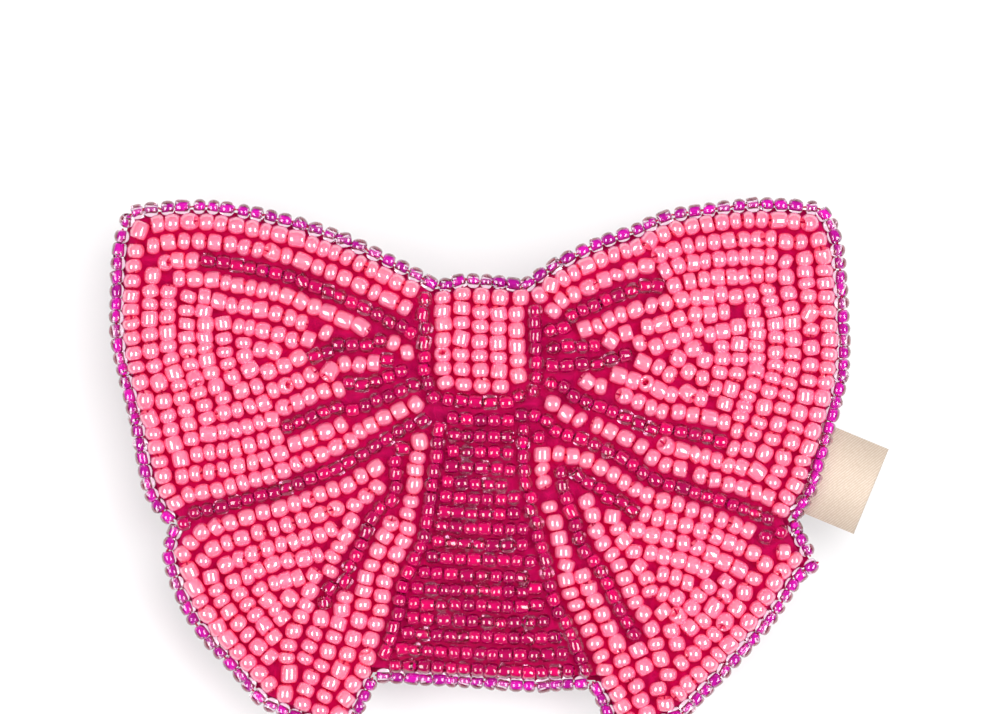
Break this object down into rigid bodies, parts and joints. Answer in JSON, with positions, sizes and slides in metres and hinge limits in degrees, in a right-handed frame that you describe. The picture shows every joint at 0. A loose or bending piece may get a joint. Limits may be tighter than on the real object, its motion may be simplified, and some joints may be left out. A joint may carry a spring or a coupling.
{
  "type": "hair bow",
  "caption": "Flat bow of seed beads sewn in rows on felt, with a folded ribbon tag at one side and a sprung lever clip on the back that grips hair.",
  "frame": {"origin": "middle of the clip's grip, on the gripping face of the fixed arm", "axes": "+X along the clip from the jaw to the handles, +Y up the bow, +Z out of the beaded face"},
  "size_m": [0.0978, 0.0682, 0.0162],
  "materials": {
    "felt": "pressed felt, crimson",
    "card": "plain stiffener card",
    "ribbon": "twill ribbon, cream",
    "pink_beads": "opaque with a pearl lustre",
    "magenta_lined_glass": "clear with a magenta lining",
    "violet_lined_glass": "clear with a violet lining",
    "steel": "nickel-plated sheet",
    "spring_steel": "spring wire",
    "thread": "sewing thread"
  },
  "bodies": {
    "root": {"face_felt": "felt", "stiffener": "card", "back_felt": "felt", "fold_tag": "ribbon", "left_loop_edge_beads": "violet_lined_glass", "right_loop_edge_beads": "violet_lined_glass", "knot_edge_beads": "violet_lined_glass", "left_tail_edge_beads": "violet_lined_glass", "right_tail_edge_beads": "violet_lined_glass", "panel_edge_beads": "violet_lined_glass", "left_loop_pink_beads": "pink_beads", "right_loop_pink_beads": "pink_beads", "knot_pink_beads": "pink_beads", "left_tail_pink_beads": "pink_beads", "right_tail_pink_beads": "pink_beads", "left_loop_glass_beads": "magenta_lined_glass", "right_loop_glass_beads": "magenta_lined_glass", "knot_glass_beads": "magenta_lined_glass", "left_tail_glass_beads": "magenta_lined_glass", "right_tail_glass_beads": "magenta_lined_glass", "panel_glass_beads": "magenta_lined_glass", "clip_fixed_arm": "steel", "clip_hinge_pin": "steel", "clip_spring": "spring_steel", "keeper_strap": "felt", "keeper_stitches": "thread"},
    "clip_lever": {"clip_lever": "steel"}
  },
  "joints": [
    {"name": "clip_lever", "type": "hinge", "parent": "root", "child": "clip_lever", "pos_m": [0.019, 0, -0.0032], "axis": [0, -1, 0], "range_deg": [0, 25], "stiffness_Nm_per_rad": 0.03, "springref_deg": -114.59, "deforming": ["clip_spring"]}
  ]
}
